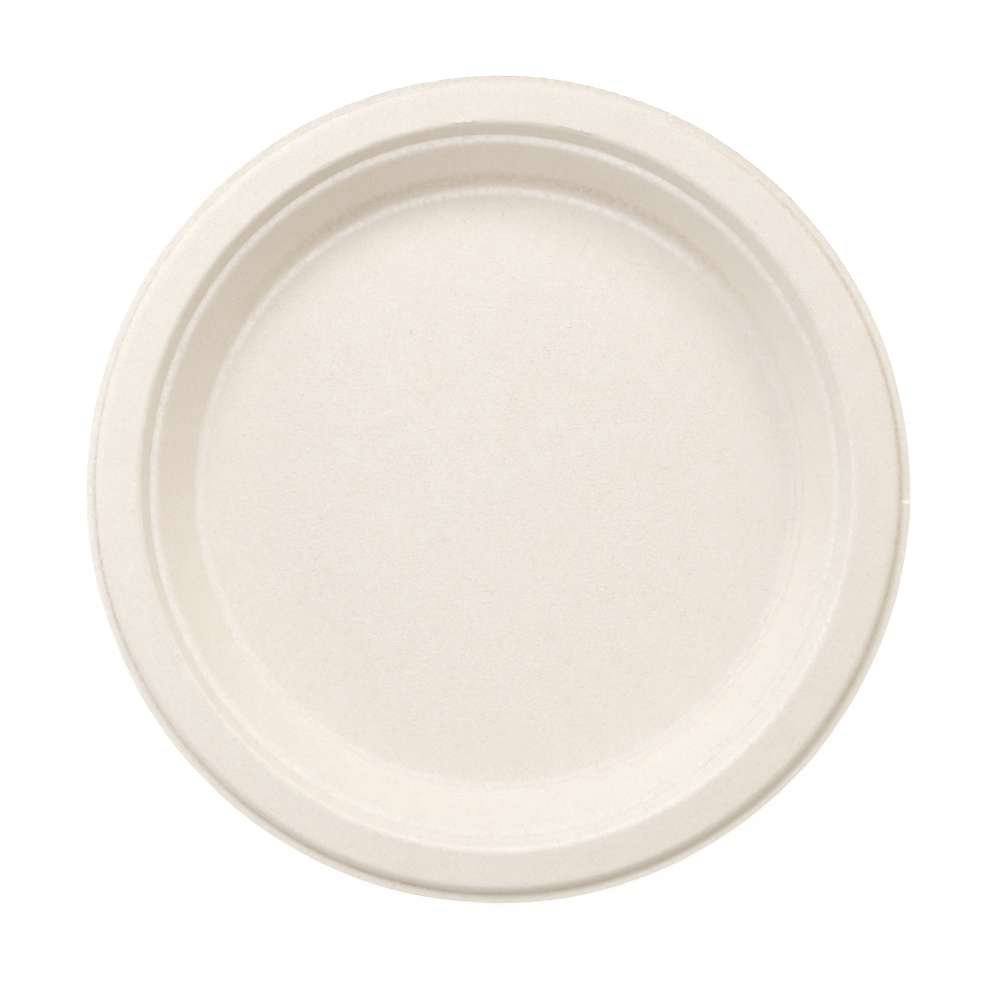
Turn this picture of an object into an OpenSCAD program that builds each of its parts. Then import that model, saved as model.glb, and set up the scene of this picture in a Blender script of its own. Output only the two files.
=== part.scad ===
// Round disposable plate, hot-pressed from moulded sugarcane fibre.
//
// The plate is one sheet of even thickness. Its section follows the middle line
// of the sheet, straight legs joined by round bends, with half the thickness
// laid off to each side, and is turned about the Z axis. The plate stands on
// z = 0 with its axis on Z. Sizes are in millimetres.

/* [Plate] */
// Diameter over the trimmed edge
plate_d = 229; // [180:1:265]
// Height of the rim above the table
plate_h = 19.5; // [17:0.5:26]
// Thickness of the pressed sheet
sheet_t = 0.7; // [0.5:0.05:0.9]

/* [Base] */
// Width of the stiffening bead round the flat base
bead_w = 3.4; // [3.2:0.1:5]
// Height of the bead above the base
bead_h = 0.25; // [0.15:0.05:0.3]

/* [Wall] */
// Height from the base to the stacking ledge
ledge_h = 13.9; // [10:0.1:14.5]
// Slope of the lower wall, from the horizontal
wall_slope = 55; // [42:1:58]
// Width of the stacking ledge
ledge_w = 2.3; // [1.9:0.1:4]
// Rise of the ledge towards its outside, in degrees
ledge_tilt = 6; // [0:1:12]
// Slope of the short wall above the ledge
upper_slope = 58; // [50:1:70]

/* [Rim] */
// Width of the rim, from the inner to the outer corner
rim_w = 11.1; // [7:0.1:16]
// Fall of the rim towards its outside, in degrees
rim_fall = 4; // [0:1:10]
// Height of the skirt that the rim turns down into
skirt_h = 2.5; // [2.4:0.1:5]
// Slope of the skirt, from the horizontal
skirt_slope = 64; // [50:1:66]
// Width of the flat flange outside the skirt
flange_w = 2.3; // [1.8:0.1:5]

/* [Bends] */
// Bend radius where the base turns up into the bead
bead_foot_r = 3; // [1:0.1:3.5]
// Bend radius over the top of the bead
bead_top_r = 1.5; // [1:0.1:2]
// Bend radius at the foot of the wall
foot_r = 2.2; // [1:0.1:2.3]
// Bend radius at the inner corner of the ledge
ledge_in_r = 1.5; // [0.8:0.1:1.6]
// Bend radius at the outer corner of the ledge
ledge_out_r = 0.6; // [0.5:0.1:1.2]
// Bend radius where the wall rolls over into the rim
shoulder_r = 2.0; // [1:0.1:3]
// Bend radius where the rim rolls over into the skirt
brow_r = 3.4; // [1:0.1:3.6]
// Bend radius between the skirt and the flange
crease_r = 0.6; // [0.5:0.1:0.8]

/* [Pleat] */
// Place of the small pleat in the flange, counted from +X towards +Y
pleat_at = -1.8; // [-180:0.1:180]
// Length of the pleat along the edge
pleat_l = 3.6; // [2:0.1:6]
// Height of the step at the end of the pleat
pleat_h = 0.5; // [0.2:0.05:0.8]

/* [Hidden] */
$fn = 96;

fibre = [0.93, 0.90, 0.85];

// Largest step of the section round a bend, in degrees
bend_step = 15;

// How far the corner of two tangents lies above the top of the round between
// them, where the line climbs at one angle and then falls at the other
function over_round(r, climb, fall) =
    r * (cos((climb - fall) / 2) / cos((climb + fall) / 2) - 1);

// Heights of the sheet's middle line
base_z = sheet_t / 2;
ledge_z = base_z + ledge_h;
ledge_top_z = ledge_z + ledge_w * tan(ledge_tilt);
shoulder_z = plate_h - sheet_t / 2 + over_round(shoulder_r, upper_slope, rim_fall);
brow_z = shoulder_z - rim_w * tan(rim_fall);
flange_z = brow_z - skirt_h;

// Radii of the corners, worked inwards from the trimmed edge
edge_x = plate_d / 2;
crease_x = edge_x - flange_w;
brow_x = crease_x - skirt_h / tan(skirt_slope);
shoulder_x = brow_x - rim_w;
ledge_out_x = shoulder_x - (shoulder_z - ledge_top_z) / tan(upper_slope);
ledge_in_x = ledge_out_x - ledge_w;
foot_x = ledge_in_x - ledge_h / tan(wall_slope);
bead_x = foot_x - bead_w / 2;
bead_foot_x = foot_x - bead_w;

// Corners of the section from the axis to the edge, each with its bend radius
section = [
    [[0, base_z], 0],
    [[bead_foot_x, base_z], bead_foot_r],
    [[bead_x, base_z + bead_h], bead_top_r],
    [[foot_x, base_z], foot_r],
    [[ledge_in_x, ledge_z], ledge_in_r],
    [[ledge_out_x, ledge_top_z], ledge_out_r],
    [[shoulder_x, shoulder_z], shoulder_r],
    [[brow_x, brow_z], brow_r],
    [[crease_x, flange_z], crease_r],
    [[edge_x, flange_z], 0],
];
last = len(section) - 1;

// Heading of the leg that leaves corner i, from the horizontal
function leg_heading(i) =
    let (run = section[i + 1][0] - section[i][0])
    atan2(run.y, run.x);

// Unit steps along a heading and square to it, to the side of the food
function ahead(h) = [cos(h), sin(h)];
function upward(h) = [-sin(h), cos(h)];

// One face of the sheet round the bend at corner i, at a height over the
// middle line
function bend_face(i, height) =
    let (
        from = leg_heading(i - 1),
        turned = leg_heading(i) - from,
        r = sign(turned) * section[i][1],
        start = section[i][0] - r * tan(turned / 2) * ahead(from),
        centre = start + r * upward(from),
        steps = ceil(abs(turned) / bend_step)
    )
    [for (k = [0:steps]) centre + (height - r) * upward(from + turned * k / steps)];

// One face of the sheet from the axis to the edge
function face(height) = concat(
    [section[0][0] + [0, height]],
    [for (i = [1:last - 1]) each bend_face(i, height)],
    [section[last][0] + [0, height]]
);

function reversed(line) = [for (k = [len(line) - 1:-1:0]) line[k]];

module plate_section() {
    polygon(concat(face(-sheet_t / 2), reversed(face(sheet_t / 2))));
}

// Small lap where the flange was pinched: it climbs along the edge and ends in
// a step, and it stays inside the flange's own outline
module pleat() {
    inset = sheet_t / 4;
    top_z = flange_z + sheet_t / 2;
    reach = brow_x + (crease_x - brow_x) / 2;
    rotate(pleat_at)
        translate([reach, 0, 0])
            rotate([90, 0, 90])
                linear_extrude(edge_x - inset - reach)
                    polygon([
                        [0, top_z - inset],
                        [0, top_z + pleat_h],
                        [pleat_l, top_z],
                        [pleat_l, top_z - inset],
                    ]);
}

module plate() {
    color(fibre) {
        rotate_extrude() plate_section();
        pleat();
    }
}

plate();
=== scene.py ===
"""Looks of a round plate pressed from moulded sugarcane fibre.

The plate is one sheet of even thickness, bent along rings. Its section is the
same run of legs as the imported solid's, drawn finer and with a few bends a
little rounder, and each ring then wanders a little off its circle, as it does
on a plate that came warm out of its mould. Sizes are in millimetres, and become
metres where a mesh, a lamp or the camera is made. Bearings are counted from +X
towards +Y, in degrees where they are settings and in radians where they are
worked with.
"""

import logging
import math
from dataclasses import dataclass, field
from enum import Enum

import bpy
import numpy as np
from mathutils import Matrix, Vector


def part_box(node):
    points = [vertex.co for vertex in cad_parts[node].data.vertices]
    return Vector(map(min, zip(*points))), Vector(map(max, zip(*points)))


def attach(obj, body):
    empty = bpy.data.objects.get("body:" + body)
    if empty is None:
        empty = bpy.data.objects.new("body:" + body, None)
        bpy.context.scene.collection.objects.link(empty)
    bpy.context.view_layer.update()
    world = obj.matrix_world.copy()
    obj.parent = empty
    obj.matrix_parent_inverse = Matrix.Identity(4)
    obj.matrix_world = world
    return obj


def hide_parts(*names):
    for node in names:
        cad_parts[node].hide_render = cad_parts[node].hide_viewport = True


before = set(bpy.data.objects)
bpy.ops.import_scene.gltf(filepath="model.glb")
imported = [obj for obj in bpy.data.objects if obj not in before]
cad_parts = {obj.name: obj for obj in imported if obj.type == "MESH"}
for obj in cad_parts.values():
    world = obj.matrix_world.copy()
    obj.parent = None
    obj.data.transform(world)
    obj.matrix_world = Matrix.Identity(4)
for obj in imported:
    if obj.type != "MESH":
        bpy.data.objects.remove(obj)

MM = 0.001
PHOTO_SIDE = 1000
SHEET_MAP = "sheet"

PLATE_HEIGHT = 19.5

# Distance between the wires of the screen that the pulp was formed on
SCREEN_PITCH = 1.15

log = logging.getLogger("plate")


class Side(Enum):
    """The two faces of the sheet, with the sign of their offset from its middle."""

    FOOD = 1
    TABLE = -1


@dataclass(frozen=True)
class Corner:
    """A corner of the section, where two legs would meet if they had no bend."""

    radius: float
    height: float
    bend: float = 0.0


@dataclass(frozen=True)
class Fineness:
    """How finely a face of the sheet is drawn, by its largest steps.

    The step round a bend is an angle in degrees, and the steps over the flat
    base and along the other legs are lengths.
    """

    bend_step: float
    base_step: float
    leg_step: float


# Steps at which lengths and heights are read off the section
READ_OFF = Fineness(6.0, 5.0, 0.5)


@dataclass
class PlateSection:
    """The section of the plate, from its axis to its trimmed edge."""

    diameter: float
    height: float
    sheet: float = 0.7
    bead_width: float = 3.4
    bead_height: float = 0.25
    foot_rise: float = 0.2
    ledge_height: float = 13.9
    wall_slope: float = 55.0
    ledge_width: float = 2.3
    ledge_tilt: float = 6.0
    upper_slope: float = 58.0
    rim_width: float = 11.1
    rim_fall: float = 4.0
    skirt_height: float = 2.5
    skirt_slope: float = 64.0
    flange_width: float = 2.3
    bead_foot_bend: float = 3.0
    bead_top_bend: float = 1.5
    foot_bend: float = 2.2
    ledge_in_bend: float = 2.4
    ledge_out_bend: float = 0.8
    shoulder_bend: float = 2.0
    brow_bend: float = 3.1
    crease_bend: float = 1.4

    def __post_init__(self) -> None:
        """Works out the corners of the sheet's middle line."""
        base = self.sheet / 2
        ledge = base + self.ledge_height
        ledge_top = ledge + self.ledge_width * math.tan(math.radians(self.ledge_tilt))
        climb = math.radians(self.upper_slope)
        fall = math.radians(self.rim_fall)
        over_round = math.cos((climb - fall) / 2) / math.cos((climb + fall) / 2) - 1
        shoulder = self.height - self.sheet / 2 + self.shoulder_bend * over_round
        brow = shoulder - self.rim_width * math.tan(fall)
        flange = brow - self.skirt_height
        self.edge = self.diameter / 2
        self.crease = self.edge - self.flange_width
        self.brow = self.crease - self.skirt_height / math.tan(math.radians(self.skirt_slope))
        self.shoulder = self.brow - self.rim_width
        self.ledge_out = self.shoulder - (shoulder - ledge_top) / math.tan(climb)
        self.ledge_in = self.ledge_out - self.ledge_width
        self.foot = self.ledge_in - self.ledge_height / math.tan(math.radians(self.wall_slope))
        self.bead = self.foot - self.bead_width / 2
        self.corners = [
            Corner(0.0, base),
            Corner(self.foot - self.bead_width, base, self.bead_foot_bend),
            Corner(self.bead, base + self.bead_height, self.bead_top_bend),
            Corner(self.foot, base + self.foot_rise, self.foot_bend),
            Corner(self.ledge_in, ledge, self.ledge_in_bend),
            Corner(self.ledge_out, ledge_top, self.ledge_out_bend),
            Corner(self.shoulder, shoulder, self.shoulder_bend),
            Corner(self.brow, brow, self.brow_bend),
            Corner(self.crease, flange, self.crease_bend),
            Corner(self.edge, flange),
        ]

    def face(self, side: Side, fineness: Fineness) -> np.ndarray:
        """Draws one face of the sheet from the axis to the edge.

        Args:
            side: The face to draw.
            fineness: Largest steps round the bends and along the legs.

        Returns:
            Rows of radius, height and length along the sheet's middle line.
        """
        offset = side.value * self.sheet / 2
        corners = self.corners
        rows = [(0.0, corners[0].height + offset, 0.0)]
        along = 0.0
        last = np.array([corners[0].radius, corners[0].height])
        for before, corner, after in zip(corners, corners[1:], corners[2:]):
            heading = math.atan2(corner.height - before.height, corner.radius - before.radius)
            leaving = math.atan2(after.height - corner.height, after.radius - corner.radius)
            turned = leaving - heading
            bend = math.copysign(corner.bend, turned)
            ahead = np.array([math.cos(heading), math.sin(heading)])
            upward = np.array([-math.sin(heading), math.cos(heading)])
            start = np.array([corner.radius, corner.height]) - bend * math.tan(turned / 2) * ahead
            centre = start + bend * upward
            along += float(np.linalg.norm(start - last))
            steps = math.ceil(abs(turned) / math.radians(fineness.bend_step))
            for k in range(steps + 1):
                angle = heading + turned * k / steps
                out = np.array([-math.sin(angle), math.cos(angle)])
                point = centre + (offset - bend) * out
                rows.append((point[0], point[1], along + abs(bend * turned) * k / steps))
                last = centre - bend * out
            along += abs(bend * turned)
        end = corners[-1]
        along += end.radius - last[0]
        rows.append((end.radius, end.height + offset, along))
        return self._divided(np.array(rows), fineness)

    def along(self, radius: float) -> float:
        """Length along the food face's sheet from the axis to a radius."""
        rows = self.face(Side.FOOD, READ_OFF)
        return float(np.interp(radius, rows[:, 0], rows[:, 2]))

    def _divided(self, rows: np.ndarray, fineness: Fineness) -> np.ndarray:
        """Adds rings along the legs, so that no step is longer than it may be.

        Args:
            rows: Rows of radius, height and length along the sheet.
            fineness: Largest steps over the base and along the legs.

        Returns:
            The rows, with the added ones between them.
        """
        parts = []
        for a, b in zip(rows, rows[1:]):
            step = fineness.base_step if b[0] < self.foot - self.bead_width else fineness.leg_step
            count = max(1, math.ceil((b[2] - a[2]) / step))
            parts.append(a + (b - a) * np.arange(count)[:, None] / count)
        parts.append(rows[-1:])
        return np.concatenate(parts)


@dataclass(frozen=True)
class RingDrift:
    """How far a ring lies off its own circle: a shift, an oval and a spread."""

    radius: float
    shift_x: float
    shift_y: float
    oval: float
    spread: float = 0.0


@dataclass(frozen=True)
class Window:
    """A stretch of bearings, in degrees, that is drawn with more lines."""

    start: float
    end: float
    lines: int

    def bearings(self) -> np.ndarray:
        """The bearings of the window's lines."""
        return np.linspace(self.start, self.end, self.lines)


def smooth(value: np.ndarray, low: float, high: float) -> np.ndarray:
    """Eases from 0 at low to 1 at high.

    Args:
        value: What is eased.
        low: Where the result is 0.
        high: Where the result is 1.

    Returns:
        The eased share, between 0 and 1.
    """
    t = np.clip((value - low) / (high - low), 0.0, 1.0)
    return t * t * (3 - 2 * t)


@dataclass
class FlangePleat:
    """The pinch in the flange, which stands up on one side of it and hangs lower on the other.

    Both lengths run along the edge, and so does the step between the two sides.
    The pinch begins a bite inside the crease and has its full height just
    outside it. The highlight shift says how many degrees past its bearing the
    middle of the step lies, where the step's painted highlight is laid.
    """

    bearing: float = -2.1
    high: float = 0.55
    high_length: float = 12.0
    low: float = 0.45
    low_length: float = 16.0
    step: float = 0.5
    bite: float = 1.3
    full: float = 0.2
    mark: float = 0.12

    def lift(
        self, radius: np.ndarray, bearing: np.ndarray, brow: float, crease: float
    ) -> np.ndarray:
        """Height that the pinch adds to the sheet.

        Args:
            radius: Distance of each point from the axis.
            bearing: Bearing of each point, in radians.
            brow: Radius of the rim's outer corner.
            crease: Radius of the crease between skirt and flange.

        Returns:
            The added height at each point.
        """
        off = bearing - math.radians(self.bearing)
        run = radius * ((off + math.pi) % (2 * math.pi) - math.pi)
        high = self.high * smooth(run, -self.high_length, 0.0)
        low = -self.low * (1 - smooth(run, self.step, self.low_length))
        stepped = smooth(run, 0.0, self.step)
        across = smooth(radius, crease - self.bite, crease + self.full)
        return (high * (1 - stepped) + low * stepped) * across * (radius > brow - self.bite)


@dataclass
class RimSet:
    """How far the rim was pressed flat as it dried.

    The shares say how much of the skirt's drop is lost, at evenly spaced bearings
    from +X. It is lost from a little inside the brow on, and there the rim also
    tilts up, by some degrees, from a hinge just outside the shoulder.
    """

    shares: tuple[float, ...] = (-0.03, 0.50, 0.78, 0.32, 0.03, 0.0, 0.0, 0.0)
    tilt: float = 1.8
    start: float = 2.6
    hinge: float = 1.0

    def lift(self, radius: np.ndarray, bearing: np.ndarray, section: PlateSection) -> np.ndarray:
        """Height that the set adds to the sheet.

        Args:
            radius: Distance of each point from the axis.
            bearing: Bearing of each point, in radians.
            section: The plate's section.

        Returns:
            The added height at each point.
        """
        count = len(self.shares)
        waves = np.fft.rfft(self.shares) / count
        amount = np.full_like(bearing, waves[0].real)
        for turns in range(1, count // 2):
            amount += 2 * np.abs(waves[turns]) * np.cos(turns * bearing + np.angle(waves[turns]))
        rows = section.face(Side.FOOD, READ_OFF)
        rows = rows[rows[:, 0] > section.shoulder]
        start = section.brow - self.start
        level = np.interp(start, rows[:, 0], rows[:, 1])
        fall = math.tan(math.radians(section.rim_fall))
        drop = level - (radius - start) * fall - np.interp(radius, rows[:, 0], rows[:, 1])
        outside = np.maximum(0.0, radius - section.shoulder - self.hinge)
        raised = math.tan(math.radians(self.tilt)) * outside
        return amount * (np.where(radius > start, drop, 0.0) + raised)


@dataclass
class ShoulderBurr:
    """A stretch of the shoulder, in degrees, where the pulp tore as the mould opened.

    The lip rises and ends over a short fade. It lies a little outside the
    shoulder and sways by waves, each with an amount, a pace and a phase.
    """

    start: float
    end: float
    height: float = 0.38
    width: float = 0.27
    fade: float = 0.8
    outside: float = 0.4
    sway: float = 0.6
    waves: tuple[tuple[float, float, float], ...] = ((0.45, 4.1, 0.0), (0.3, 9.7, 1.0))

    def lift(self, radius: np.ndarray, bearing: np.ndarray, shoulder: float) -> np.ndarray:
        """Height of the torn lip at each point.

        Args:
            radius: Distance of each point from the axis.
            bearing: Bearing of each point, in radians.
            shoulder: Radius of the shoulder's corner.

        Returns:
            The added height at each point.
        """
        degrees = np.degrees(bearing)
        begun = smooth(degrees, self.start, self.start + self.fade)
        ended = smooth(degrees, self.end - self.fade, self.end)
        inside = begun * (1 - ended)
        wave = sum(amount * np.sin(degrees * pace + phase) for amount, pace, phase in self.waves)
        off = radius - shoulder - self.outside - wave * self.sway
        across = np.exp(-((off / self.width) ** 2))
        return self.height * inside * across


@dataclass
class MouldedPlate:
    """The plate as it came out of its mould.

    The wall and rim are warped by slow waves, each with its turns round the plate
    and its height, and sink a little as a whole. The trimmed edge is ragged by
    quicker waves that are lower the quicker they are. The windows draw the pinch
    and the burrs with more lines.
    """

    section: PlateSection
    lines: int = 360
    food: Fineness = Fineness(6.0, 5.0, 0.9)
    table: Fineness = Fineness(12.0, 8.0, 2.4)
    pleat: FlangePleat = field(default_factory=FlangePleat)
    rim_set: RimSet = field(default_factory=RimSet)
    burrs: tuple[ShoulderBurr, ...] = (ShoulderBurr(75.2, 81.4), ShoulderBurr(93.2, 97.6))
    windows: tuple[Window, ...] = (
        Window(-4.0, 1.0, 44),
        Window(75.0, 81.6, 22),
        Window(93.0, 97.8, 16),
    )
    edge_round: float = 0.14
    warp: tuple[tuple[int, float], ...] = ((2, 0.10), (3, 0.08), (5, 0.05), (9, 0.03), (14, 0.02))
    warp_sink: float = 0.12
    ragged: tuple[int, ...] = (11, 17, 29, 43, 67, 101, 149)
    ragged_height: float = 0.32
    ragged_power: float = 0.6
    ragged_loss: float = 0.1
    ragged_share: float = 0.6
    ragged_from: float = 0.5
    seed: int = 7

    def __post_init__(self) -> None:
        """Sets how far each ring lies off its circle, as measured in the photo."""
        section = self.section
        self.drifts = (
            RingDrift(0.0, 0.0, 0.0, 0.0),
            RingDrift(section.bead, -0.35, 0.8, -0.2, 0.05),
            RingDrift(section.foot + 1.0, -0.5, 0.9, -0.3, 0.05),
            RingDrift(section.ledge_in, -1.15, 1.0, -0.8, 0.0),
            RingDrift(section.ledge_out, -1.1, 0.9, -0.9, 0.05),
            RingDrift(section.shoulder, -0.53, 0.6, -0.95, 0.05),
            RingDrift(section.brow - 1.5, -0.1, 0.0, -0.4),
            RingDrift(section.crease, -0.05, 0.1, -0.35, -0.18),
            RingDrift(section.edge, -0.09, -0.10, -0.27, -0.12),
        )

    def build(self) -> bpy.types.Object:
        """Makes the plate's mesh.

        Returns:
            The plate as an object at the origin, with its sheet map.
        """
        bearings = self._bearings()
        top = self.section.face(Side.FOOD, self.food)
        under = self.section.face(Side.TABLE, self.table)
        rings = self._closed(top, under)
        place = self._shaped(rings, bearings)
        count = len(bearings)
        first, last = ([[0.0, 0.0, row[1]]] for row in (rings[0], rings[-1]))
        vertices = np.concatenate([first, place.reshape(-1, 3), last]) * MM
        faces = self._faces(len(rings) - 2, count)
        mesh = bpy.data.meshes.new("plate_sheet")
        mesh.from_pydata(vertices.tolist(), [], faces)
        mesh.validate()
        self._map_sheet(mesh, rings, bearings)
        # The screen side begins where the rounded edge turns under
        under_from = len(top) + 1
        under_faces = np.arange(len(rings) - 1) > under_from
        mesh.polygons.foreach_set("material_index", np.tile(under_faces, count).astype(np.int32))
        mesh.polygons.foreach_set("use_smooth", np.ones(len(mesh.polygons), bool))
        piece = bpy.data.objects.new("moulded_plate", mesh)
        bpy.context.scene.collection.objects.link(piece)
        return piece

    def _bearings(self) -> np.ndarray:
        """Works out the bearings of the lines from the axis to the edge.

        Returns:
            The bearings in rising order, in radians.
        """
        even = np.arange(self.lines) * 360.0 / self.lines
        close = np.concatenate([w.bearings() % 360.0 for w in self.windows])
        every = np.unique(np.concatenate([even, close]).round(3))
        return np.radians(every)

    def _closed(self, top: np.ndarray, under: np.ndarray) -> np.ndarray:
        """Joins both faces round the trimmed edge.

        Args:
            top: Rows of the face for food, from the axis outwards.
            under: Rows of the face for the table, from the axis outwards.

        Returns:
            One run of rows, out along the top and back along the underside.
        """
        cut = self.edge_round
        reach, high, along = top[-1]
        low = under[-1][1]
        # The middle of a round lies about 0.3 of its radius inside both faces
        mid = cut * 0.3
        rounded = [
            (reach - cut, high, along - cut),
            (reach - mid, high - mid, along - mid),
            (reach, high - cut, along),
            (reach, low + cut, along),
            (reach - mid, low + mid, along - mid),
            (reach - cut, low, along - cut),
        ]
        return np.concatenate([top[:-1], np.array(rounded), under[-2::-1]])

    def _shaped(self, rings: np.ndarray, bearings: np.ndarray) -> np.ndarray:
        """Places every point of the rings between the two ends on the axis.

        Args:
            rings: Rows of radius, height and length along the sheet.
            bearings: Bearings of the lines, in radians.

        Returns:
            Points by ring and line, in millimetres.
        """
        section = self.section
        radius = np.repeat(rings[1:-1, 0][:, None], len(bearings), 1)
        height = np.repeat(rings[1:-1, 1][:, None], len(bearings), 1)
        bearing = np.repeat(bearings[None], len(radius), 0)
        height = height + self.pleat.lift(radius, bearing, section.brow, section.crease)
        height = height + self.rim_set.lift(radius, bearing, section)
        for burr in self.burrs:
            height = height + burr.lift(radius, bearing, section.shoulder)
        height = height + self._warp(radius, bearing)
        places = [drift.radius for drift in self.drifts]
        cos, sin = np.cos(bearing), np.sin(bearing)
        shares = {
            "shift_x": cos,
            "shift_y": sin,
            "oval": np.cos(2 * bearing),
            "spread": np.ones_like(bearing),
        }
        for name, share in shares.items():
            amounts = [getattr(drift, name) for drift in self.drifts]
            radius = radius + np.interp(rings[1:-1, 0], places, amounts)[:, None] * share
        radius = radius + self._ragged(rings[1:-1, 0], bearings)
        return np.stack([radius * cos, radius * sin, height], -1)

    def _warp(self, radius: np.ndarray, bearing: np.ndarray) -> np.ndarray:
        """Adds up the slow waves in the height of the wall and rim, none in the base.

        Args:
            radius: Distance of each point from the axis.
            bearing: Bearing of each point, in radians.

        Returns:
            The added height at each point.
        """
        draw = np.random.default_rng(self.seed)
        share = smooth(radius, self.section.foot, self.section.edge)
        wave = np.zeros_like(radius)
        for turns, amount in self.warp:
            wave += amount * np.cos(turns * bearing + draw.uniform(0, 2 * math.pi))
        return share * (wave - self.warp_sink)

    def _ragged(self, radius: np.ndarray, bearings: np.ndarray) -> np.ndarray:
        """Works out the small unevenness of the trimmed edge, none inside the crease.

        Args:
            radius: Radius of each ring.
            bearings: Bearings of the lines, in radians.

        Returns:
            The added radius by ring and line.
        """
        draw = np.random.default_rng(self.seed + 1)
        wave = np.zeros_like(bearings)
        for turns in self.ragged:
            height = self.ragged_height / turns ** self.ragged_power
            wave += height * np.cos(turns * bearings + draw.uniform(0, 2 * math.pi))
        share = smooth(radius, self.section.crease + self.ragged_from, self.section.edge)
        return share[:, None] * (wave - self.ragged_loss) * self.ragged_share

    def _faces(self, rings: int, count: int) -> list[tuple[int, ...]]:
        """Faces of the mesh: a fan at each end and rows of four-sided faces between.

        Args:
            rings: Number of whole rings.
            count: Number of points in a ring.

        Returns:
            Vertex numbers of each face, all turned outwards.
        """
        faces: list[tuple[int, ...]] = []
        end = 1 + rings * count
        for k in range(count):
            after = (k + 1) % count
            faces.append((0, 1 + k, 1 + after))
            for ring in range(rings - 1):
                inner = 1 + ring * count
                outer = inner + count
                faces.append((inner + k, outer + k, outer + after, inner + after))
            inner = 1 + (rings - 1) * count
            faces.append((inner + k, end, inner + after))
        return faces

    def _map_sheet(self, mesh: bpy.types.Mesh, rings: np.ndarray, bearings: np.ndarray) -> None:
        """Maps the sheet laid out flat, in millimetres, so that fibres keep their length.

        Args:
            mesh: The plate's mesh.
            rings: Rows of radius, height and length along the sheet.
            bearings: Bearings of the lines, in radians.
        """
        along = rings[1:-1, 2][:, None]
        flat = np.stack([along * np.cos(bearings), along * np.sin(bearings)], -1).reshape(-1, 2)
        flat = np.concatenate([[[0.0, 0.0]], flat, [[0.0, 0.0]]])
        corners = np.empty(len(mesh.loops), np.int32)
        mesh.loops.foreach_get("vertex_index", corners)
        layer = mesh.uv_layers.new(name=SHEET_MAP)
        layer.data.foreach_set("uv", flat[corners].ravel())


@dataclass
class ShaderGraph:
    """A material's node tree, with short calls for the nodes that the finish uses."""

    tree: bpy.types.NodeTree

    def node(self, kind: str, **settings: object) -> bpy.types.Node:
        """Adds a node.

        Args:
            kind: Blender's type name of the node.
            settings: Properties of the node.

        Returns:
            The new node.
        """
        made = self.tree.nodes.new(kind)
        for name, value in settings.items():
            setattr(made, name, value)
        return made

    def plug(self, socket: bpy.types.NodeSocket, value: object) -> None:
        """Links a socket to another, or sets its value.

        Args:
            socket: Input socket of a node.
            value: Output socket of another node, or a constant.
        """
        if isinstance(value, bpy.types.NodeSocket):
            self.tree.links.new(value, socket)
        else:
            socket.default_value = value

    def math(self, operation: str, *values: object) -> bpy.types.NodeSocket:
        """Adds a Math node.

        Args:
            operation: What the node works out.
            values: Its inputs, in order.

        Returns:
            The node's result.
        """
        made = self.node("ShaderNodeMath", operation=operation)
        for socket, value in zip(made.inputs, values):
            self.plug(socket, value)
        return made.outputs[0]

    def vector(self, operation: str, *values: object) -> bpy.types.NodeSocket:
        """Adds a Vector Math node.

        Args:
            operation: What the node works out.
            values: Its inputs, in order.

        Returns:
            The node's vector, or its number where the operation gives one.
        """
        made = self.node("ShaderNodeVectorMath", operation=operation)
        for socket, value in zip(made.inputs, values):
            self.plug(socket, value)
        return made.outputs["Value" if operation in ("LENGTH", "DOT_PRODUCT") else "Vector"]

    def turned(self, place: object, angle: object) -> bpy.types.NodeSocket:
        """Turns a place about the origin.

        Args:
            place: Place on the sheet.
            angle: Angle in radians.

        Returns:
            The turned place.
        """
        made = self.node("ShaderNodeVectorRotate", rotation_type="Z_AXIS")
        self.plug(made.inputs["Vector"], place)
        self.plug(made.inputs["Angle"], angle)
        return made.outputs[0]

    def ease(
        self, value: object, low: float, high: float, to: tuple[float, float] = (0.0, 1.0)
    ) -> bpy.types.NodeSocket:
        """Maps a value smoothly from one range to another.

        Args:
            value: What is mapped.
            low: Value that gives the first result.
            high: Value that gives the second result.
            to: The two results.

        Returns:
            The mapped value.
        """
        made = self.node("ShaderNodeMapRange", interpolation_type="SMOOTHSTEP")
        for socket, number in zip(made.inputs, (value, low, high, *to)):
            self.plug(socket, number)
        return made.outputs[0]

    def tint(self, share: object, under: object, over: object) -> bpy.types.NodeSocket:
        """Lays a colour over another.

        Args:
            share: How much of the upper colour shows.
            under: The lower colour.
            over: The upper colour.

        Returns:
            The mixed colour.
        """
        made = self.node("ShaderNodeMix", data_type="RGBA")
        self.plug(made.inputs["Factor"], share)
        # The node's colours share their names with its numbers, so they go by place
        self.plug(made.inputs[6], under)
        self.plug(made.inputs[7], over)
        return made.outputs[2]

    def noise(
        self, place: object, scale: float, detail: float, roughness: float = 0.5
    ) -> bpy.types.NodeSocket:
        """Adds flat noise.

        Args:
            place: Place on the sheet.
            scale: Waves to a millimetre.
            detail: Octaves added to the first.
            roughness: Share that each octave keeps of the one before.

        Returns:
            The noise, around a half.
        """
        made = self.node("ShaderNodeTexNoise", noise_dimensions="2D")
        self.plug(made.inputs["Vector"], place)
        made.inputs["Scale"].default_value = scale
        made.inputs["Detail"].default_value = detail
        made.inputs["Roughness"].default_value = roughness
        return made.outputs[0]


def linear(red: float, green: float, blue: float) -> tuple[float, float, float, float]:
    """Turns a colour as a screen shows it into the light that it stands for.

    Args:
        red: Red from 0 to 255.
        green: Green from 0 to 255.
        blue: Blue from 0 to 255.

    Returns:
        The colour as light, with an opacity of one.
    """
    shares = [value / 255 for value in (red, green, blue)]
    light = [s / 12.92 if s <= 0.04045 else ((s + 0.055) / 1.055) ** 2.4 for s in shares]
    return light[0], light[1], light[2], 1.0


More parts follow.
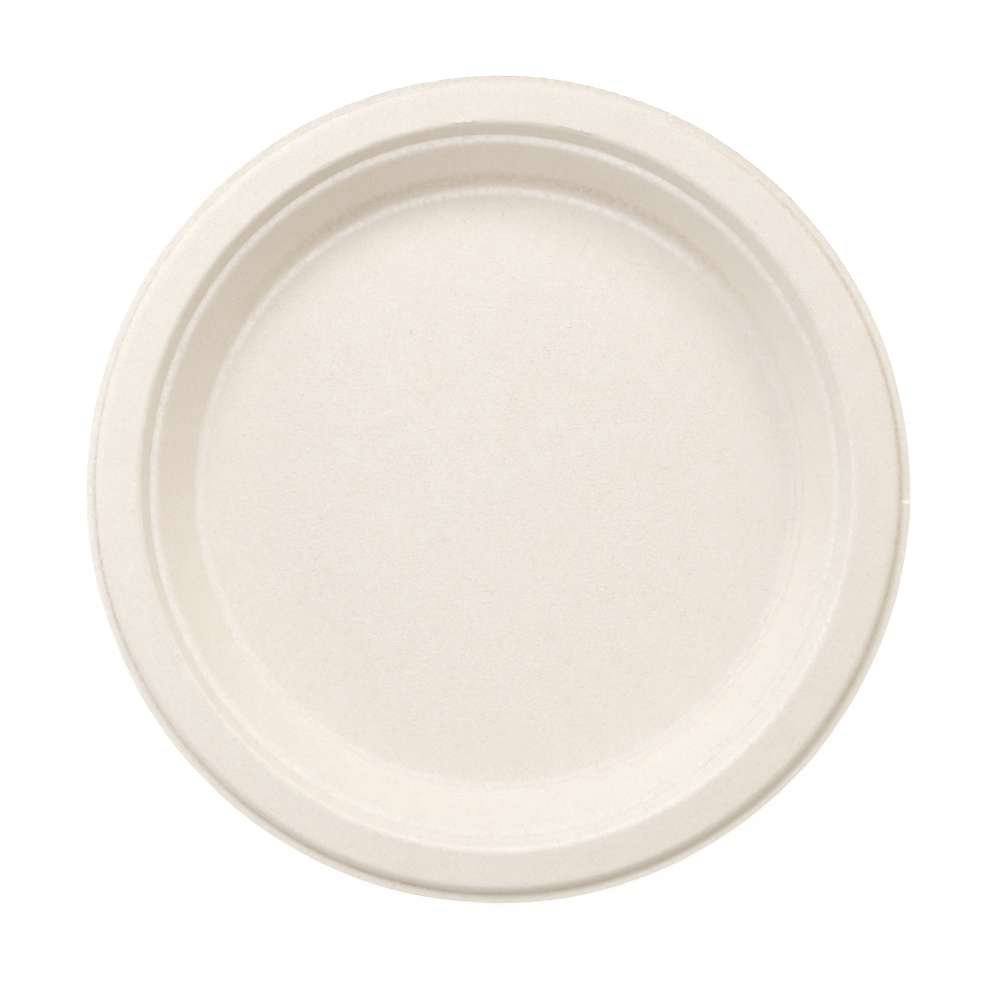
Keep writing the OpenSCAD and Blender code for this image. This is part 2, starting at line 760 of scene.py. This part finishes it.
@dataclass(frozen=True)
class FibreLayer:
    """One scatter of short strokes over the sheet, with one stroke to a cell.

    The shift keeps two scatters apart, and the rarity is the share of cells that
    stay empty.
    """

    cell: float
    length: float
    width: float
    curl: float
    shift: float
    rarity: float = 0.0


# Shape of a stroke: how far it curls, the share of its width that is full, how
# much shorter the shortest one is, and the share of its length where it thins out
STROKE_CURL = 1.6
STROKE_CORE = 0.15
STROKE_SPREAD = 0.45
STROKE_TAPER = 0.6


@dataclass(frozen=True)
class WispLayer:
    """One tangle of fine fibres, which lie where a flat noise crosses its middle value.

    The noise is drawn out along a heading, in degrees, so that most fibres lie
    that way, and a second noise breaks them up.
    """

    heading: float
    scale: float
    stretch: float
    width: float
    relief: float
    tone: float


@dataclass(frozen=True)
class PressedAndPaintedLightBand:
    """A ring painted paler, or darker where its tone is below zero.

    Most rings are painted light and shade: highlights on the bead, ledge, shoulder
    and flange, and shade in corners, at the wall's foot and in the crease. A few are
    also pulp that the mould pressed paler. A ring with a bearing, in degrees, is
    painted on that side only.
    """

    centre: float
    half: float
    blur: float
    tone: float
    toward: float | None = None


@dataclass(frozen=True)
class PleatHighlight:
    """A painted highlight on the step of the pleat, at a bearing in degrees.

    The highlight starts at a length along the sheet and fades in from there. The core
    is the share of its half width that is full.
    """

    bearing: float
    start: float
    half: float = 0.34
    core: float = 0.5
    fade: float = 0.4
    tone: float = 0.42


@dataclass(frozen=True)
class MouldedFibre:
    """The finish of uncoated moulded fibre: felted fibres, specks, a mottle and rings of painted
    light and shade.

    A tone is how far a part of the finish goes from the base colour towards the
    pale one, or towards the tan one where it is below zero; both also carry the
    painted light and shade of the rings and of the pleat's step. A range is where a
    noise, or the cosine of the angle from a one-sided ring's bearing, eases from
    none to full.
    """

    name: str
    light_and_press_bands: tuple[PressedAndPaintedLightBand, ...] = ()
    # Painted highlight on the pleat's step
    pleat_highlight: PleatHighlight | None = None
    screen: float = 0.0
    base: tuple[float, float, float, float] = linear(236, 229, 218.6)
    # The pale colour also carries painted highlights, and the tan colour painted shade
    pale: tuple[float, float, float, float] = linear(253, 250, 246)
    tan: tuple[float, float, float, float] = linear(196, 177, 150)
    brown: tuple[float, float, float, float] = linear(120, 92, 60)
    roughness: float = 0.86
    roughness_drop: float = 0.1
    specular: float = 0.25
    relief_height: float = 0.027
    screen_relief: float = 0.7
    grain_relief: float = 0.3
    grain_scale: float = 2.3
    grain_turn: float = 0.6
    grain_range: tuple[float, float] = (0.3, 0.7)
    grain_tone: float = 0.06
    cloud_scale: float = 0.09
    cloud_tone: float = 0.13
    felt_tone: float = 0.215
    speck_cover: float = 0.34
    stray_cover: float = 0.30
    patch_scale: float = 0.55
    patch_range: tuple[float, float] = (0.36, 0.6)
    patch_share: tuple[float, float] = (0.5, 1.15)
    side_range: tuple[float, float] = (0.35, 0.95)
    wisp_core: float = 0.2
    gap_scale: float = 1.1
    gap_range: tuple[float, float] = (0.48, 0.54)
    felt: tuple[FibreLayer, ...] = (
        FibreLayer(1.70, 1.35, 0.105, 0.5, 3.1),
        FibreLayer(2.20, 2.00, 0.11, 0.25, 87.3),
    )
    wisps: tuple[WispLayer, ...] = (
        WispLayer(43.0, 1.70, 2.6, 0.14, 1.0, 0.62),
        WispLayer(-40.0, 1.60, 2.6, 0.13, 0.0, -0.36),
        WispLayer(-66.0, 1.80, 2.5, 0.14, 1.0, 0.55),
        WispLayer(57.0, 1.65, 2.5, 0.13, 0.0, -0.34),
        WispLayer(-25.0, 1.55, 2.3, 0.13, 0.9, 0.50),
    )
    specks: FibreLayer = FibreLayer(2.6, 0.24, 0.15, 1.2, 13.0, 0.3)
    strays: FibreLayer = FibreLayer(17.0, 1.1, 0.16, 0.4, 61.0, 0.45)

    def material(self) -> bpy.types.Material:
        """Makes the material.

        Returns:
            The finished material.
        """
        made = bpy.data.materials.new(self.name)
        made.use_nodes = True
        made.node_tree.nodes.clear()
        graph = ShaderGraph(made.node_tree)
        sheet = graph.node("ShaderNodeUVMap", uv_map=SHEET_MAP).outputs[0]
        relief, shade = self._felt(graph, sheet)
        specks, _ = self._strokes(graph, sheet, self.specks)
        strays, _ = self._strokes(graph, sheet, self.strays)
        specks = graph.math("MULTIPLY", specks, self.speck_cover)
        strays = graph.math("MULTIPLY", strays, self.stray_cover)
        dirt = graph.math("MAXIMUM", specks, strays)
        cloud = graph.noise(sheet, self.cloud_scale, detail=2.0, roughness=0.6)
        cloud = graph.math("SUBTRACT", cloud, 0.5)
        turned = graph.turned(sheet, self.grain_turn)
        grain = graph.noise(turned, self.grain_scale, detail=1.0, roughness=0.6)
        uneven = graph.math("SUBTRACT", grain, 0.5)
        tone = graph.math("MULTIPLY", cloud, self.cloud_tone)
        tone = graph.math("MULTIPLY_ADD", uneven, self.grain_tone, tone)
        tone = graph.math("MULTIPLY_ADD", shade, self.felt_tone, tone)
        tone = graph.math("ADD", tone, self._light_and_press_tone(graph, sheet))
        # Tones above zero go pale and below zero go tan: the fibres' own tone, plus painted light
        # and shade from the rings and the pleat
        darker = graph.math("MULTIPLY", tone, -1.0)
        colour = graph.tint(graph.math("MAXIMUM", tone, 0.0), self.base, self.pale)
        colour = graph.tint(graph.math("MAXIMUM", darker, 0.0), colour, self.tan)
        colour = graph.tint(dirt, colour, self.brown)
        height = graph.math("MULTIPLY_ADD", uneven, self.grain_relief, relief)
        if self.screen:
            weave = self._weave(graph, sheet)
            height = graph.math("MULTIPLY_ADD", weave, self.screen_relief, height)
        bump = graph.node("ShaderNodeBump")
        bump.inputs["Strength"].default_value = 1.0
        bump.inputs["Distance"].default_value = self.relief_height * MM
        graph.plug(bump.inputs["Height"], height)
        shader = graph.node("ShaderNodeBsdfPrincipled")
        graph.plug(shader.inputs["Base Color"], colour)
        graph.plug(shader.inputs["Normal"], bump.outputs[0])
        span = (self.roughness, self.roughness - self.roughness_drop)
        graph.plug(shader.inputs["Roughness"], graph.ease(grain, *self.grain_range, span))
        shader.inputs["Specular IOR Level"].default_value = self.specular
        output = graph.node("ShaderNodeOutputMaterial")
        graph.plug(output.inputs["Surface"], shader.outputs[0])
        return made

    def _weave(self, graph: ShaderGraph, sheet: bpy.types.NodeSocket) -> bpy.types.NodeSocket:
        """Draws the imprint of the woven screen that the pulp was formed on.

        Args:
            graph: The material's nodes.
            sheet: Place on the sheet.

        Returns:
            The imprint's height at each place, from -1 to 1.
        """
        axes = graph.node("ShaderNodeSeparateXYZ")
        graph.plug(axes.inputs[0], sheet)
        turn = 2 * math.pi / self.screen
        waves = [graph.math("SINE", graph.math("MULTIPLY", axis, turn)) for axis in axes.outputs[:2]]
        return graph.math("MULTIPLY", *waves)

    def _light_and_press_tone(self, graph: ShaderGraph, sheet: bpy.types.NodeSocket) -> object:
        """Adds up the patchy rings of painted light and shade, and the pleat's painted highlight.

        Args:
            graph: The material's nodes.
            sheet: Place on the sheet.

        Returns:
            The tone of the rings and the highlight at each place.
        """
        away = graph.vector("LENGTH", sheet)
        patches = graph.noise(sheet, self.patch_scale, detail=2.0, roughness=0.7)
        patchy = graph.ease(patches, *self.patch_range, self.patch_share)
        heading = graph.vector("NORMALIZE", sheet)
        tone: object = 0.0
        # Rings of painted light and shade, a few also paler pressed pulp
        for band in self.light_and_press_bands:
            off = graph.math("ABSOLUTE", graph.math("SUBTRACT", away, band.centre))
            full = max(0.0, band.half - band.blur)
            share = graph.ease(off, full, band.half + band.blur, (1.0, 0.0))
            if band.toward is not None:
                side = math.radians(band.toward)
                reach = graph.vector("DOT_PRODUCT", heading, (math.cos(side), math.sin(side), 0.0))
                share = graph.math("MULTIPLY", share, graph.ease(reach, *self.side_range))
            tone = graph.math("MULTIPLY_ADD", share, band.tone, tone)
        tone = graph.math("MULTIPLY", tone, patchy)
        # Painted highlight on the step of the pleat
        pleat_highlight = self.pleat_highlight
        if pleat_highlight:
            axes = graph.node("ShaderNodeSeparateXYZ")
            graph.plug(axes.inputs[0], graph.turned(sheet, -math.radians(pleat_highlight.bearing)))
            outward, beside = axes.outputs[0], graph.math("ABSOLUTE", axes.outputs[1])
            share = graph.ease(beside, pleat_highlight.half * pleat_highlight.core, pleat_highlight.half, (1.0, 0.0))
            begun = graph.ease(outward, pleat_highlight.start, pleat_highlight.start + pleat_highlight.fade)
            share = graph.math("MULTIPLY", share, begun)
            tone = graph.math("MULTIPLY_ADD", share, pleat_highlight.tone, tone)
        return tone

    def _felt(self, graph: ShaderGraph, sheet: bpy.types.NodeSocket) -> tuple[object, object]:
        """Lays the short curled fibres and the tangles of finer ones over one another.

        Args:
            graph: The material's nodes.
            sheet: Place on the sheet.

        Returns:
            The fibres' relief, and how much paler or darker each place is.
        """
        relief: object = 0.0
        shade: object = 0.0
        for layer in self.felt:
            stroke, chance = self._strokes(graph, sheet, layer)
            relief = graph.math("ADD", stroke, relief)
            # The chance of a stroke makes it darker below a half and paler above it
            signed = graph.math("MULTIPLY", stroke, graph.math("SUBTRACT", chance, 0.5))
            shade = graph.math("MULTIPLY_ADD", signed, 2.0, shade)
        for wisp in self.wisps:
            along = graph.turned(sheet, math.radians(wisp.heading))
            stretch, apart = (1 / wisp.stretch, 1.0, 0.0), (wisp.heading, 0.0, 0.0)
            place = graph.vector("MULTIPLY_ADD", along, stretch, apart)
            waves = graph.noise(place, wisp.scale, detail=0.0)
            off = graph.math("ABSOLUTE", graph.math("SUBTRACT", waves, 0.5))
            gaps = graph.noise(place, wisp.scale * self.gap_scale, detail=0.0)
            shown = graph.ease(gaps, *self.gap_range)
            line = graph.ease(off, wisp.width * self.wisp_core, wisp.width, (1.0, 0.0))
            line = graph.math("MULTIPLY", line, shown)
            if wisp.relief:
                relief = graph.math("MULTIPLY_ADD", line, wisp.relief, relief)
            shade = graph.math("MULTIPLY_ADD", line, wisp.tone, shade)
        return relief, shade

    def _strokes(
        self, graph: ShaderGraph, sheet: bpy.types.NodeSocket, layer: FibreLayer
    ) -> tuple[bpy.types.NodeSocket, bpy.types.NodeSocket]:
        """Draws one curled stroke in each cell of a scatter.

        Args:
            graph: The material's nodes.
            sheet: Place on the sheet.
            layer: Sizes of the strokes.

        Returns:
            A mask of the strokes, and a chance value of each.
        """
        place = graph.vector("ADD", sheet, (layer.shift, -layer.shift, 0.0))
        cells = graph.node("ShaderNodeTexVoronoi", voronoi_dimensions="2D")
        graph.plug(cells.inputs["Vector"], place)
        cells.inputs["Scale"].default_value = 1 / layer.cell
        split = graph.node("ShaderNodeSeparateColor")
        graph.plug(split.inputs[0], cells.outputs["Color"])
        turn, chance, size = split.outputs
        local = graph.vector("SUBTRACT", place, cells.outputs["Position"])
        axes = graph.node("ShaderNodeSeparateXYZ")
        graph.plug(axes.inputs[0], graph.turned(local, graph.math("MULTIPLY", turn, 2 * math.pi)))
        squared = graph.math("MULTIPLY", axes.outputs[0], axes.outputs[0])
        curl = graph.math("MULTIPLY", size, STROKE_CURL * layer.curl)
        curl = graph.math("MULTIPLY", squared, curl)
        across = graph.math("ABSOLUTE", graph.math("SUBTRACT", axes.outputs[1], curl))
        thin = graph.ease(across, layer.width * STROKE_CORE, layer.width, (1.0, 0.0))
        reach = graph.math("MULTIPLY_ADD", size, -STROKE_SPREAD * layer.length, layer.length)
        ends = graph.math("DIVIDE", graph.math("ABSOLUTE", axes.outputs[0]), reach)
        stroke = graph.math("MULTIPLY", thin, graph.ease(ends, STROKE_TAPER, 1.0, (1.0, 0.0)))
        if layer.rarity:
            shown = graph.ease(chance, layer.rarity, 1.0)
            stroke = graph.math("MULTIPLY", stroke, shown)
        return stroke, chance


COOL = (0.92, 1.0, 1.13)
NEUTRAL = (0.95, 1.0, 1.05)


@dataclass(frozen=True)
class Panel:
    """A soft lamp that faces the plate, with the share that it lends to level ground.

    Its bearing and elevation are in degrees, and its size is the width and the
    height of its ellipse.
    """

    name: str
    bearing: float
    elevation: float
    distance: float
    size: tuple[float, float]
    share: float
    colour: tuple[float, float, float]

    def lamp(self) -> bpy.types.Object:
        """Makes the lamp.

        Returns:
            The lamp as an object, hung and turned to the plate.
        """
        bearing, elevation = math.radians(self.bearing), math.radians(self.elevation)
        across = math.cos(elevation)
        away = Vector((math.cos(bearing) * across, math.sin(bearing) * across, math.sin(elevation)))
        light = bpy.data.lights.new(self.name, "AREA")
        light.shape = "ELLIPSE"
        light.size, light.size_y = self.size[0] * MM, self.size[1] * MM
        # Power that gives white ground, square to the lamp, the brightness of one
        power = math.pi**2 * (self.distance * MM) ** 2
        light.energy = self.share / math.sin(elevation) * power
        light.color = self.colour
        lamp = bpy.data.objects.new(self.name, light)
        level = Vector((-math.sin(bearing), math.cos(bearing), 0.0))
        turned = Matrix((level, away.cross(level), away)).transposed()
        lamp.matrix_world = Matrix.Translation(away * self.distance * MM) @ turned.to_4x4()
        lamp.visible_camera = False
        return lamp


@dataclass
class Studio:
    """Floor, lamps and camera.

    The radius and centre in pixels are the plate's in the photo. The floor is a
    matt grey that sends light back up at the plate. To the camera and to
    reflections most of it glows instead, which makes it white and leaves the
    plate's soft shadow.
    """

    aim_height: float
    radius_px: float = 413.4
    centre_px: tuple[float, float] = (498.9, 487.7)
    camera_place: tuple[float, float, float] = (-10.0, -90.0, 1500.0)
    focal: float = 100.0
    clip_end: float = 100.0
    floor_half: float = 4000.0
    floor_gap: float = 0.2
    floor_grey: float = 0.8
    floor_glow: float = 1.05
    floor_glow_share: float = 0.91
    sky_share: float = 0.205
    sky_colour: tuple[float, float, float, float] = (1.31, 1.0, 0.61, 1.0)
    panels: tuple[Panel, ...] = (
        Panel("key_right", 60.0, 33.0, 2000.0, (460.0, 460.0), 0.098, (0.94, 1.0, 1.07)),
        Panel("key_back", 90.0, 36.0, 2000.0, (460.0, 580.0), 0.081, (0.93, 1.0, 1.10)),
        Panel("key_middle", 120.0, 38.0, 1800.0, (415.0, 415.0), 0.130, (0.91, 1.0, 1.17)),
        Panel("key_left", 150.0, 42.0, 1300.0, (300.0, 420.0), 0.046, COOL),
        Panel("key_high", 148.0, 54.0, 1100.0, (260.0, 260.0), 0.040, COOL),
        Panel("overhead", 110.0, 84.0, 2200.0, (800.0, 800.0), 0.190, (0.92, 1.0, 1.16)),
        Panel("right", 0.0, 35.0, 2000.0, (1080.0, 1080.0), 0.105, (0.99, 1.0, 0.98)),
        Panel("left", 180.0, 35.0, 800.0, (430.0, 430.0), 0.070, (0.915, 1.0, 1.12)),
        Panel("front", 270.0, 35.0, 1300.0, (700.0, 700.0), 0.016, NEUTRAL),
        Panel("low_right", 340.0, 16.0, 1300.0, (500.0, 360.0), 0.026, NEUTRAL),
        Panel("low_left", 200.0, 16.0, 1300.0, (500.0, 360.0), 0.054, NEUTRAL),
    )

    def floor(self) -> bpy.types.Object:
        """Lays the pale floor, which the camera sees as white with the plate's soft shadow.

        Returns:
            The floor as an object, just under the plate.
        """
        half = self.floor_half * MM
        mesh = bpy.data.meshes.new("floor")
        corners = [(-half, -half, 0), (half, -half, 0), (half, half, 0), (-half, half, 0)]
        mesh.from_pydata(corners, [], [(0, 1, 2, 3)])
        piece = bpy.data.objects.new("floor", mesh)
        bpy.context.scene.collection.objects.link(piece)
        piece.location.z = -self.floor_gap * MM
        made = bpy.data.materials.new("pale_floor")
        made.use_nodes = True
        made.node_tree.nodes.clear()
        graph = ShaderGraph(made.node_tree)
        matt = graph.node("ShaderNodeBsdfDiffuse")
        matt.inputs["Color"].default_value = (*[self.floor_grey] * 3, 1.0)
        glow = graph.node("ShaderNodeEmission")
        glow.inputs["Strength"].default_value = self.floor_glow
        path = graph.node("ShaderNodeLightPath")
        seen = graph.math("MAXIMUM", path.outputs["Is Camera Ray"], path.outputs["Is Glossy Ray"])
        seen = graph.math("MAXIMUM", seen, path.outputs["Is Transmission Ray"])
        mix = graph.node("ShaderNodeMixShader")
        graph.plug(mix.inputs[0], graph.math("MULTIPLY", seen, self.floor_glow_share))
        graph.plug(mix.inputs[1], matt.outputs[0])
        graph.plug(mix.inputs[2], glow.outputs[0])
        output = graph.node("ShaderNodeOutputMaterial")
        graph.plug(output.inputs["Surface"], mix.outputs[0])
        mesh.materials.append(made)
        return piece

    def light(self) -> None:
        """Sets the sky that fills the shade, and hangs the panels."""
        world = bpy.data.worlds.new("studio")
        world.use_nodes = True
        world.node_tree.nodes.clear()
        graph = ShaderGraph(world.node_tree)
        fill = graph.node("ShaderNodeBackground")
        fill.inputs["Color"].default_value = self.sky_colour
        fill.inputs["Strength"].default_value = self.sky_share
        output = graph.node("ShaderNodeOutputWorld")
        graph.plug(output.inputs["Surface"], fill.outputs[0])
        bpy.context.scene.world = world
        for panel in self.panels:
            bpy.context.scene.collection.objects.link(panel.lamp())

    def camera(self, plate_radius: float) -> None:
        """Hangs the camera over the plate.

        Args:
            plate_radius: Radius of the plate's edge.
        """
        lens = bpy.data.cameras.new("camera")
        lens.lens = self.focal
        place = Vector(self.camera_place)
        sight = Vector((0.0, 0.0, self.aim_height)) - place
        view_width = PHOTO_SIDE * plate_radius / self.radius_px
        lens.sensor_fit = "HORIZONTAL"
        lens.sensor_width = self.focal * view_width / sight.length
        side = PHOTO_SIDE / 2
        lens.shift_x = (side - self.centre_px[0]) / PHOTO_SIDE
        lens.shift_y = (self.centre_px[1] - side) / PHOTO_SIDE
        lens.clip_end = self.clip_end
        eye = bpy.data.objects.new("camera", lens)
        eye.location = place * MM
        eye.rotation_euler = (math.asin(sight.y / sight.length), math.atan2(-sight.x, -sight.z), 0.0)
        bpy.context.scene.collection.objects.link(eye)
        bpy.context.scene.camera = eye


def pressed_and_painted_light_bands(section: PlateSection) -> tuple[PressedAndPaintedLightBand, ...]:
    """Places the rings of painted light and shade, a few also paler pressed pulp.

    Args:
        section: The plate's section.

    Returns:
        The rings, by their length along the sheet.
    """
    ledge = (section.ledge_in + section.ledge_out) / 2
    # Radius, half width, blur and tone of each ring, and its bearing if it has one
    rings = (
        # Paler ring on the bead all round: partly paler pressed pulp, partly a painted highlight
        (section.bead + 0.1, 1.0, 0.8, 0.18),
        # Painted highlight on the bead on the lamps' side
        (section.bead + 0.1, 0.9, 0.8, 0.7, 105.0),
        # Paler ring on the ledge all round: partly paler pressed pulp, partly a painted highlight
        (ledge, 0.7, 0.6, 0.35),
        # Painted highlight on the ledge on the lamps' side
        (ledge, 0.8, 0.7, 0.9, 115.0),
        # Painted shade in the concave corner outside the ledge
        (section.ledge_out + 0.1, 0.14, 0.12, -0.10),
        # Painted highlight on the roll of the shoulder
        (section.shoulder - 0.4, 0.4, 0.4, 0.24),
        # Painted shade at the foot of the wall that faces away from the lamps
        (section.foot + 1.8, 1.8, 1.6, -0.3, 88.0),
        # Painted shade in the crease, towards bearing 8 degrees
        (section.crease - 0.4, 1.0, 0.7, -0.4, 8.0),
        # Painted shade at the foot of the wall, towards bearing -22 degrees
        (section.foot + 0.8, 1.2, 1.2, -0.14, -22.0),
        # Painted shade in the crease, towards bearings 150 and 228 degrees
        (section.crease + 0.1, 0.5, 0.45, -0.32, 150.0),
        (section.crease, 0.6, 0.5, -0.32, 228.0),
        # Painted light on the flange, lifting the shadow that the skirt casts on it
        (section.crease + 1.7, 0.9, 0.4, 0.24),
        # Painted shade on the flange towards bearing 90 degrees
        (section.crease + 1.7, 0.9, 0.4, -0.4, 90.0),
        # A darker thin line along the trimmed edge, darker still towards bearing 60 degrees
        (section.edge - 0.05, 0.16, 0.12, -0.2),
        (section.edge - 0.05, 0.2, 0.12, -0.5, 60.0),
    )
    return tuple(PressedAndPaintedLightBand(section.along(radius), *rest) for radius, *rest in rings)


def main() -> None:
    """Builds the plate and its studio, and reports each piece."""
    logging.basicConfig(level=logging.INFO, format="%(name)s: %(message)s")
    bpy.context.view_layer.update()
    low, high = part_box("plate")
    section = PlateSection(diameter=(high.x - low.x) / MM, height=PLATE_HEIGHT)
    studio = Studio(aim_height=section.corners[-1].height)
    studio.camera(section.edge)
    studio.light()
    studio.floor()
    moulded = MouldedPlate(section)
    plate = moulded.build()
    pleat = moulded.pleat
    # The pleat's step gets a painted highlight
    pleat_highlight = PleatHighlight(pleat.bearing + pleat.mark, section.along(section.crease))
    finishes = (
        MouldedFibre("moulded_fibre", pressed_and_painted_light_bands(section), pleat_highlight),
        MouldedFibre("moulded_fibre_screen_side", screen=SCREEN_PITCH),
    )
    for finish in finishes:
        plate.data.materials.append(finish.material())
    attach(plate, "root")
    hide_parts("plate")
    log.info("%s: %d faces", plate.name, len(plate.data.polygons))
    scene = bpy.context.scene
    scene.view_settings.view_transform = "Standard"


if __name__ == "__main__":
    main()
